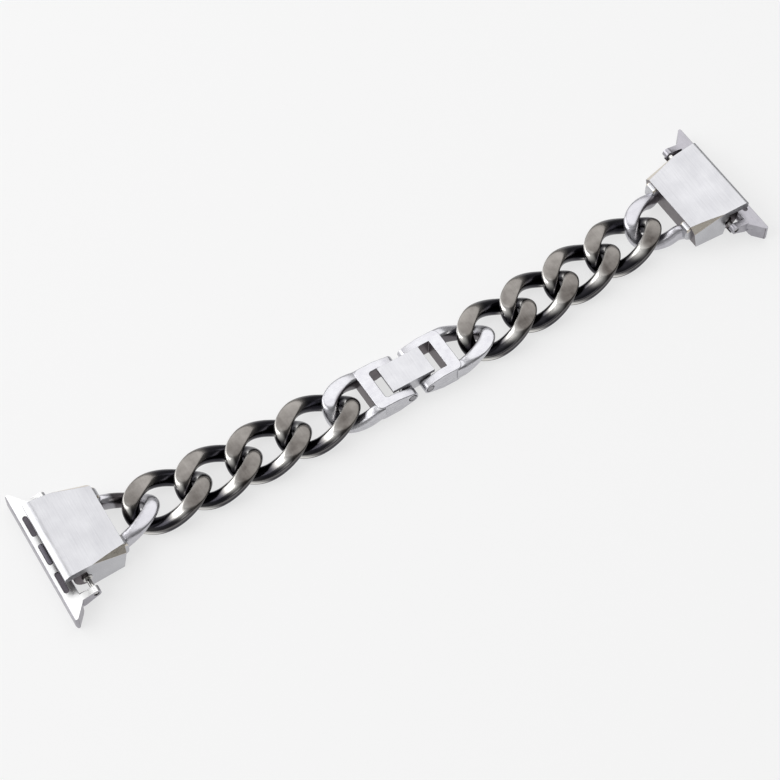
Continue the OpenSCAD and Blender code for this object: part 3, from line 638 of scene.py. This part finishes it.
# end body: a tapered block with a crowned top, bevelled flanks, a soft lip and a knuckle round the spring bar
block = {"length": 10.26, "width": 14.4, "topWidthChain": 11.2, "widthChain": 13.2, "height": 5.9,
         "heightChain": 4.7, "bevelX": 4.6, "bevelZ": 3.5, "crown": 0.22, "crownSteps": 22, "edge": 0.18,
         "undercut": 0.9, "footReach": 0.8,
         "lipZ": 4.6, "lipChamfer": 0.15, "lipSteps": 14, "lipEase": 2.4, "hollowReach": 0.1,
         "barX": 3.38, "barZ": 2.7, "boreRadius": 0.79,
         "knuckleWidth": 13.4, "knuckleRadius": 1.95, "knuckleSteps": 30, "knuckleReach": 2.2,
         "knuckleFoot": 0.9, "knuckleOverlap": 0.3, "knuckleEdge": 0.1,
         "rootY": 4.63, "rootWidth": 2.2, "rootOut": 0.7, "rootZ": 4.3, "rootShoulder": 3.6, "rootFoot": 1.2,
         "rootEdge": 0.5, "rootRound": 0.42}
# the left body's lip is worn softer than the right one's
lips = {"left": {"run": 1.5, "fall": 0.5}, "right": {"run": 0.7, "fall": 0.28}}


def topHeight(x, lip):
    b = block
    share = x / b["length"]
    slope = b["height"] + (b["heightChain"] - b["height"]) * share
    fall = lip["fall"] * (1 - x / lip["run"]) ** b["lipEase"] if x < lip["run"] else 0.0
    return slope + 4 * b["crown"] * share * (1 - share) - fall


def barBore():
    b = block
    return prism(circle(b["barX"], b["barZ"], b["boreRadius"]), -b["width"], b["width"])


def bodyShell(lip):
    b = block
    spots = np.r_[np.linspace(b["length"], lip["run"], b["crownSteps"]),
                  np.linspace(lip["run"], 0, b["lipSteps"])[1:-1]]
    outline = [(b["barX"] + b["footReach"], 0.0), (b["length"] - b["undercut"], 0.0)]
    outline += [(x, topHeight(x, lip)) for x in spots]
    outline += [(0.0, b["height"] - lip["fall"]), (0.0, b["lipZ"] + b["lipChamfer"])]
    outline += [(b["lipChamfer"], b["lipZ"]), (b["barX"] + b["hollowReach"], b["lipZ"])]
    shell = prism(outline, -b["width"] / 2, b["width"] / 2)
    half = (b["width"] + (b["widthChain"] - b["width"]) * b["bevelX"] / b["length"]) / 2
    for s in (1, -1):
        flank = Vector((b["width"] / 2 - b["widthChain"] / 2, s * b["length"], 0))
        sliceOff(shell, Vector((0, s * b["width"] / 2, 0)), flank)
        corner = Vector((b["bevelX"], s * half, topHeight(b["bevelX"], lip)))
        topEnd = Vector((b["length"], s * b["topWidthChain"] / 2, b["heightChain"]))
        lowEnd = Vector((b["length"], s * b["widthChain"] / 2, b["bevelZ"]))
        sliceOff(shell, corner, (topEnd - corner).cross(lowEnd - corner) * s)
    return carve(shell, [("DIFFERENCE", barBore())])


def bodyKnuckle():
    b = block
    back, over = b["barX"] + b["knuckleReach"], b["lipZ"] + b["knuckleOverlap"]
    outline = arc(b["barX"], b["barZ"], b["knuckleRadius"], 180, 300, b["knuckleSteps"])
    outline += [(back, b["knuckleFoot"]), (back, over), (b["barX"] - b["knuckleRadius"], over)]
    return carve(prism(outline, -b["knuckleWidth"] / 2, b["knuckleWidth"] / 2), [("DIFFERENCE", barBore())])


# the block that one arm of the loop grows out of
def armRoot(side):
    b = block
    inner, outer = b["length"] - b["undercut"] - b["rootOut"], b["length"] + b["rootOut"]
    outline = [(inner, b["rootFoot"]), (b["length"], b["rootFoot"]), (outer, b["rootFoot"] + b["rootEdge"]),
               (outer, b["rootShoulder"]), (outer - b["rootEdge"], b["rootZ"]), (inner, b["rootZ"])]
    return prism(outline, side * b["rootY"] - b["rootWidth"] / 2, side * b["rootY"] + b["rootWidth"] / 2)


# how far a face leans, 1 being straight that way, and in mm how far past an edge it still counts
bodyFaces = {"bevelOut": 0.3, "bevelUp": 0.3, "bevelToChain": 0.05, "bevelPast": 0.2,
             "hollowReach": 1.2, "hollowPast": 0.05, "endOn": 0.8, "endPast": 0.1, "endBelow": 0.15}


# 0 is the brushed outside, 1 the bevels in painted light, 2 painted shade on the hollow by the bar and the
# chain end
def bodyFinish(middle, way):
    b, f = block, bodyFaces
    sloping = abs(way.y) > f["bevelOut"] and way.x > f["bevelToChain"] and way.z > f["bevelUp"]
    if sloping and middle.x > b["bevelX"] - f["bevelPast"]:
        return 1
    hollow = (middle.x < b["barX"] + f["hollowReach"] and middle.z < b["lipZ"] + f["hollowPast"]
              and abs(middle.y) < b["knuckleWidth"] / 2 + f["hollowPast"])
    chainEnd = (way.x > f["endOn"] and middle.x < b["length"] + f["endPast"]
                and middle.z < b["heightChain"] - f["endBelow"])
    return 2 if hollow or chainEnd else 0


def bodyMesh(name, lip):
    meshes = [roundEdges(name + "Shell", bodyShell(lip), block["edge"]),
              roundEdges(name + "Knuckle", bodyKnuckle(), block["knuckleEdge"])]
    meshes += [roundEdges(name + "Root", armRoot(side), block["rootRound"]) for side in (1, -1)]
    mesh = joined(name, meshes)
    dressFaces(mesh, ["brushedBodySteel", "paintedLightBevelSteel", "paintedShadeSteel"], bodyFinish)
    return mesh


# the last two entries give how strong the painted shade inside the loop is and where along the far arm it
# starts
bodyLoop = {"reach": 6.05, "halfWidth": 3.68, "spread": 0.95, "depth": 2.4, "upAtRoot": 1.6,
            "sideAtRoot": 0.9, "upAtEnd": 1.12, "sideAtEnd": 1.2, "blend": 0.7, "height": 3.6,
            "softness": 0.26, "squareness": 0.85, "bendSquare": 0.86,
            "insideShade": 0.45, "armShadeFrom": {"left": 0.7, "right": None}}
for end in ("left", "right"):
    name = f"endBody{end.title()}"
    mesh = bodyMesh(name, lips[end])
    mesh.transform(unitMatrix(f"end_{end}"))
    makePiece(name, mesh, None, f"end_{end}", [f"end_body_{end}"])
    name = f"bodyLoop{end.title()}"
    pts, faces = halfLoop(bodyLoop, bodyLoop["depth"])
    mesh = meshFrom(name, pts, faces, unitMatrix(f"end_{end}", layOut["bodyLoopX"]),
                    loopShadePaint(pts, bodyLoop["insideShade"], bodyLoop["armShadeFrom"][end]))
    makePiece(name, mesh, steel["tumbledLoopSteel"], f"end_{end}")
print("end bodies made")

# clasp frame: two arms, a crossbar and a loop; the arms thin down to the pin
clasp = {"width": 8.2, "gap": 5.2, "height": 3.3, "open": 3.9, "crossbar": 2.1, "corner": 1.0,
         "innerCorner": {"left": 0.45, "right": 0.12}, "tipRadius": 1.0, "tipArc": (100, 260, 24),
         "rise": 2.4, "pinZ": 1.7, "pinRadius": 0.68, "edge": 0.2, "sharp": 24,
         "loop": {"reach": 6.05, "halfWidth": 3.4, "spread": 0.0, "upAtRoot": 1.4, "sideAtRoot": 0.95,
                  "upAtEnd": 1.17, "sideAtEnd": 1.25, "blend": 0.7, "height": 3.6, "softness": 0.16,
                  "squareness": 0.45, "bendSquare": 0.72, "insideShade": 1.0}}
# how far a face leans, 1 being straight that way, and in mm how far past an edge it still counts
claspFaces = {"openPast": 0.15, "gapPast": 0.02, "upright": 0.5, "endOn": 0.9}


def frameMesh(name, end):
    c = clasp
    full, half, inner, tip = c["open"] + c["crossbar"], c["width"] / 2, c["gap"] / 2, c["tipRadius"]
    outerR, innerR = c["corner"], c["innerCorner"][end]
    plan = [(-tip, -half)] + arc(full - outerR, -half + outerR, outerR, -90, 0)
    plan += arc(full - outerR, half - outerR, outerR, 0, 90) + [(-tip, half), (-tip, inner)]
    plan += arc(c["open"] - innerR, inner - innerR, innerR, 90, 0, 6)
    plan += arc(c["open"] - innerR, -inner + innerR, innerR, 0, -90, 6) + [(-tip, -inner)]
    side = [(full, 0.0), (full, c["height"]), (c["rise"], c["height"])]
    side += arc(0, c["pinZ"], tip, *c["tipArc"]) + [(c["rise"], 0.0)]
    pinHole = prism(circle(0, c["pinZ"], c["pinRadius"]), -c["width"], c["width"])
    body = carve(prism(plan, 0.0, c["height"], "z"),
                 [("INTERSECT", prism(side, -c["width"], c["width"])), ("DIFFERENCE", pinHole)])
    return roundEdges(name, body, c["edge"], c["sharp"])


# 0 is the brushed outside, 1 the walls inside the opening and behind the loop, drawn dark as painted shade
def claspFinish(middle, way):
    c, f = clasp, claspFaces
    inOpening = (middle.x < c["open"] + f["openPast"] and abs(middle.y) < c["gap"] / 2 + f["gapPast"]
                 and abs(way.z) < f["upright"])
    behind = way.x > f["endOn"] and abs(middle.y) < c["loop"]["halfWidth"] - c["loop"]["sideAtRoot"]
    return 1 if inOpening or behind else 0


for end, way, turn in (("left", -1, 180), ("right", 1, 0)):
    place = unitMatrix("clasp", way * layOut["pinGap"] / 2, turn)
    name = f"claspFrame{end.title()}"
    mesh = frameMesh(name, end)
    dressFaces(mesh, ["brushedClaspSteel", "paintedShadeSteel"], claspFinish)
    mesh.transform(place)
    makePiece(name, mesh, None, f"clasp_{end}", [f"clasp_frame_{end}"])
    name = f"claspLoop{end.title()}"
    loopX = layOut["loopX" + end.title()]
    pts, faces = halfLoop(clasp["loop"], loopX - clasp["open"] - clasp["crossbar"] / 2)
    mesh = meshFrom(name, pts, faces, place @ Matrix.Translation((loopX, 0, 0)),
                    loopShadePaint(pts, clasp["loop"]["insideShade"]))
    makePiece(name, mesh, steel["brushedClaspSteel"], f"clasp_{end}")
print("clasp frames made")


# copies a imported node's mesh, merges its triangles into faces and rounds its edges
def machined(node, width):
    bm = bmesh.new()
    bm.from_mesh(nodes[node].data)
    bmesh.ops.scale(bm, vec=(metre, metre, metre), verts=bm.verts)
    bmesh.ops.remove_doubles(bm, verts=bm.verts, dist=meshing["packedJoin"])
    bmesh.ops.dissolve_limit(bm, angle_limit=radians(meshing["packedFlat"]), verts=bm.verts, edges=bm.edges)
    mesh = roundEdges(node + "Machined", bm, width)
    mesh.transform(Matrix.Scale(mm, 4))
    return mesh


# the T-bar; the slot's place is measured from the end body; the left top is painted light, the right top
# painted shade
tBar = {"edge": 0.12, "lowFace": 2.3, "slotX": -0.25, "slotReach": 0.5, "upward": 0.75, "upright": 0.3,
        "top": {"left": "paintedLightConnectorSteel", "right": "paintedShadeConnectorSteel"}}
coverPlate = {"edge": 0.06}


# 0 the top and outer ledges, 1 the sides, in painted shade, 2 low inner faces and slot walls, in darker
# painted shade
def connectorFinish(middle, way):
    if way.z > tBar["upward"]:
        return 2 if middle.z < tBar["lowFace"] else 0
    return 2 if abs(middle.x - tBar["slotX"]) < tBar["slotReach"] and abs(way.z) < tBar["upright"] else 1


for end in ("left", "right"):
    mesh = machined(f"adapter_{end}", tBar["edge"])
    place = unitMatrix(f"end_{end}")
    mesh.transform(place.inverted())
    dressFaces(mesh, [tBar["top"][end], "paintedShadeConnectorSteel", "paintedShadeSteel"], connectorFinish)
    mesh.transform(place)
    makePiece(f"tBar{end.title()}", mesh, None, f"connector_{end}", [f"adapter_{end}"])
mesh = machined("clasp_cover_plate", coverPlate["edge"])
makePiece("claspCover", mesh, steel["brushedCoverSteel"], "cover", ["clasp_cover_plate"])
print("connectors and cover made")

# the small turned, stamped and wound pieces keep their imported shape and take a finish
smallPieces = {"clasp_catch_pin": steel["turnedPinSteel"], "clasp_hinge_pin": steel["turnedPinSteel"],
               # the hook leaf under the cover takes the dark steel as painted shade
               "clasp_hook_leaf": steel["paintedShadeSteel"]}
for end in ("left", "right"):
    smallPieces[f"grip_pads_{end}"] = rubber
    smallPieces[f"lock_detent_{end}"] = steel["stampedCatchSteel"]
    smallPieces[f"detent_spring_{end}"] = steel["drawnSpringSteel"]
    smallPieces[f"spring_bar_barrel_{end}"] = steel["polishedBarSteel"]
    smallPieces[f"spring_bar_spring_{end}"] = steel["drawnSpringSteel"]
    for side in ("near", "far"):
        smallPieces[f"spring_bar_tip_{end}_{side}"] = steel["polishedBarSteel"]
for name, mat in smallPieces.items():
    giveFinish(nodes[name].data, mat)
print("small pieces finished")

# pale paper under the strap, just below it so that the two don't flicker; sizes in metres, the drop in mm
stage = {"floorSize": 6.0, "dropMm": 0.02, "paper": "#EDEDED", "colour": "#F3F3F3", "shadeShare": 0.25,
         "glow": 0.765}


# the camera and the reflections see the paper at its written colour, with the strap's faint shadow
def paleFloor(look):
    mat, tree = startMaterial("paleFloor")
    path = addNode(tree, "ShaderNodeLightPath")
    mirrored = addNode(tree, "ShaderNodeMath", {"operation": "MAXIMUM"},
                       {0: path.outputs["Is Camera Ray"], 1: path.outputs["Is Glossy Ray"]})
    seen = addNode(tree, "ShaderNodeMath", {"operation": "MAXIMUM"},
                   {0: mirrored.outputs[0], 1: path.outputs["Is Transmission Ray"]})
    paper = addNode(tree, "ShaderNodeBsdfDiffuse", {"Color": toLinear(look["paper"])})
    shade = addNode(tree, "ShaderNodeBsdfDiffuse", {"Color": [look["shadeShare"]] * 3 + [1.0]})
    glow = addNode(tree, "ShaderNodeEmission", {"Color": toLinear(look["colour"]), "Strength": look["glow"]})
    both = addNode(tree, "ShaderNodeAddShader", {}, {0: shade.outputs[0], 1: glow.outputs[0]})
    mix = addNode(tree, "ShaderNodeMixShader", {},
                  {0: seen.outputs[0], 1: paper.outputs[0], 2: both.outputs[0]})
    addNode(tree, "ShaderNodeOutputMaterial", {}, {"Surface": mix.outputs[0]})
    return mat


bm = bmesh.new()
bmesh.ops.create_grid(bm, x_segments=1, y_segments=1, size=stage["floorSize"] / 2)
floorMesh = bpy.data.meshes.new("floor")
bm.to_mesh(floorMesh)
bm.free()
floor = bpy.data.objects.new("floor", floorMesh)
giveFinish(floorMesh, paleFloor(stage))
floor.location.z = -stage["dropMm"] * mm
scene.collection.objects.link(floor)

# the room is light beyond the strap and dim on the near side, so that rounded metal shows dark sides; the
# camera sees the backdrop at a strength of its own
room = {"dim": 0.2, "light": 0.6, "towards": (-0.5, 0.74, 0.45), "from": -0.3, "to": 0.85, "backdrop": 0.9}
world = bpy.data.worlds.new("studio")
scene.world = world
world.use_nodes = True
sky = world.node_tree
coord = addNode(sky, "ShaderNodeTexCoord")
side = addNode(sky, "ShaderNodeVectorMath", {"operation": "DOT_PRODUCT", 1: room["towards"]},
               {0: coord.outputs["Generated"]})
level = addNode(sky, "ShaderNodeMapRange",
                {"interpolation_type": "SMOOTHSTEP", "From Min": room["from"], "From Max": room["to"],
                 "To Min": room["dim"], "To Max": room["light"]}, {"Value": side.outputs["Value"]})
rays = addNode(sky, "ShaderNodeLightPath")
shown = addNode(sky, "ShaderNodeMix", {"data_type": "FLOAT", 3: room["backdrop"]},
                {"Factor": rays.outputs["Is Camera Ray"], 2: level.outputs[0]})
sky.nodes["Background"].inputs["Color"].default_value = (1, 1, 1, 1)
sky.links.new(shown.outputs[0], sky.nodes["Background"].inputs["Strength"])

# soft boxes: where they shine from, in degrees, and their distance and sides in metres; the radiance is in
# watts per square metre and steradian
lamps = {
    "overhead": {"bearing": 134, "height": 58, "distance": 0.9, "width": 0.85, "depth": 0.75,
                 "radiance": 1.15},
    "leftBox": {"bearing": -132, "height": 32, "distance": 0.8, "width": 0.95, "depth": 0.6,
                "radiance": 2.0},
    "cornerBox": {"bearing": -90, "height": 48, "distance": 0.8, "width": 0.35, "depth": 0.35,
                  "radiance": 1.8},
    "nearStrip": {"bearing": -13, "height": 17, "distance": 0.9, "width": 0.45, "depth": 0.2,
                  "radiance": 0.85},
}
for name, lamp in lamps.items():
    data = bpy.data.lights.new(name, "AREA")
    data.shape = "RECTANGLE"
    data.size, data.size_y = lamp["width"], lamp["depth"]
    data.energy = lamp["radiance"] * pi * lamp["width"] * lamp["depth"]
    hang(name, data, lamp)
scene.view_settings.view_transform = "Standard"
print("stage lit")
